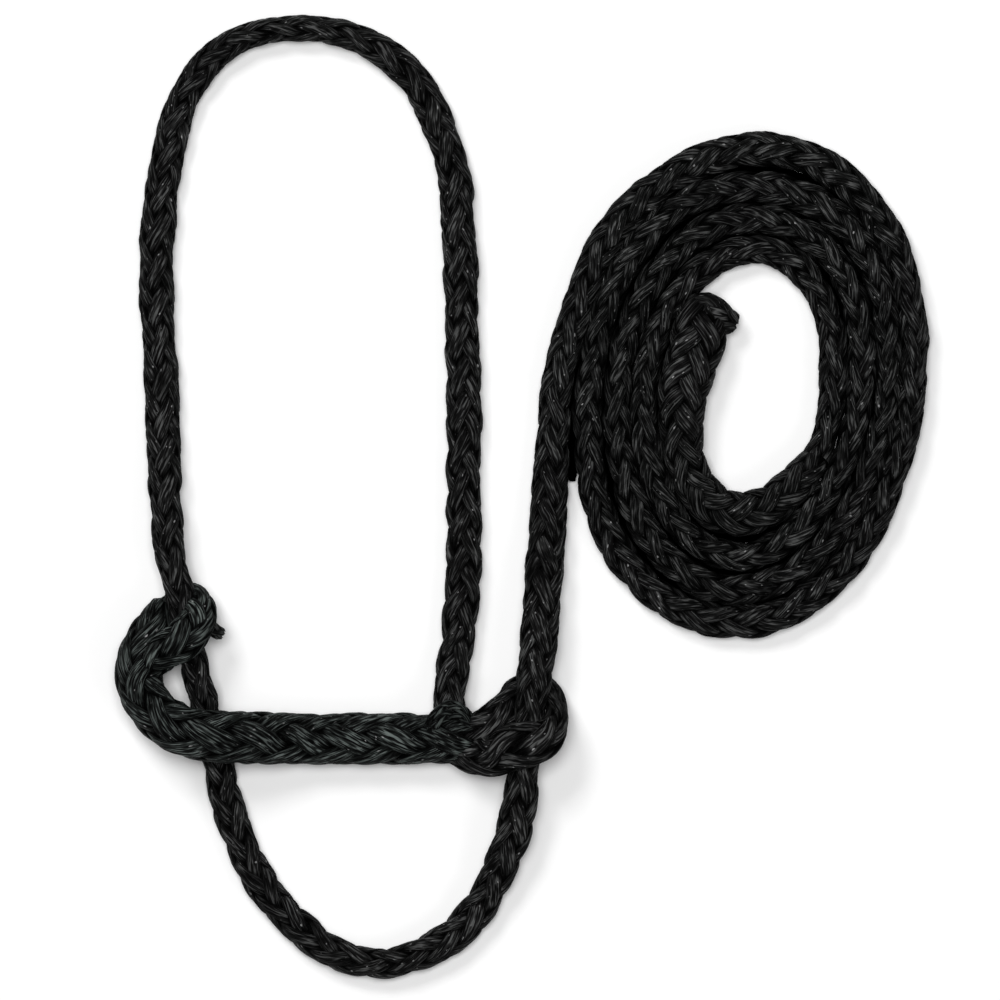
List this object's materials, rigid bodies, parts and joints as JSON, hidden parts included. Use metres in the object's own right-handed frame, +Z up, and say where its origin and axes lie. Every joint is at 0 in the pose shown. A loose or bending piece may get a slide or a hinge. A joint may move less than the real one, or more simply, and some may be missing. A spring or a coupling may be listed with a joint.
{
  "type": "rope halter with lead",
  "caption": "Braided rope animal halter: crown loop, doubled noseband, spliced eye, running loop and chin loop, with its lead wound in a flat oval coil.",
  "frame": {"origin": "under the middle of the outline, on the surface the halter lies on", "axes": "+X from the head loop towards the coiled lead, +Y from the chin loop towards the crown, +Z up from the surface"},
  "size_m": [0.2952, 0.3496, 0.0297],
  "materials": {
    "noseband_sheath_rope": "braided black polypropylene, satin",
    "noseband_core_rope": "braided black polypropylene, satin",
    "eye_loop_rope": "braided black polypropylene, satin",
    "eye_tail_rope": "braided black polypropylene, satin",
    "running_loop_rope": "braided black polypropylene, satin",
    "crown_rope_rope": "braided black polypropylene, satin",
    "cheek_rope_rope": "braided black polypropylene, satin",
    "chin_rope_left_rope": "braided black polypropylene, satin",
    "chin_rope_right_rope": "braided black polypropylene, satin",
    "lead_leg_rope": "braided black polypropylene, satin",
    "lead_coil_rope": "braided black polypropylene, satin",
    "lead_end_sheath_rope": "braided black polypropylene, satin",
    "lead_end_core_rope": "braided black polypropylene, satin",
    "lead_end_tail_rope": "braided black polypropylene, satin"
  },
  "bodies": {
    "halter": {"noseband_sheath": "noseband_sheath_rope", "noseband_core": "noseband_core_rope", "eye_loop": "eye_loop_rope", "eye_tail": "eye_tail_rope", "running_loop": "running_loop_rope", "crown_rope": "crown_rope_rope", "chin_rope_left": "chin_rope_left_rope", "chin_rope_right": "chin_rope_right_rope"},
    "cheek": {"cheek_rope": "cheek_rope_rope"},
    "lead": {"lead_leg": "lead_leg_rope", "lead_coil": "lead_coil_rope", "lead_end_sheath": "lead_end_sheath_rope", "lead_end_core": "lead_end_core_rope", "lead_end_tail": "lead_end_tail_rope"}
  },
  "joints": [
    {"name": "eye_slide", "type": "slide", "parent": "halter", "child": "cheek", "axis": [-0.219, 0.9757, 0], "range_m": [0, 0.012], "deforming": ["crown_rope", "chin_rope_left"]},
    {"name": "lead_slide", "type": "slide", "parent": "halter", "child": "lead", "axis": [0.1194, 0.9928, 0], "range_m": [0, 0.015], "deforming": ["chin_rope_right"]}
  ]
}
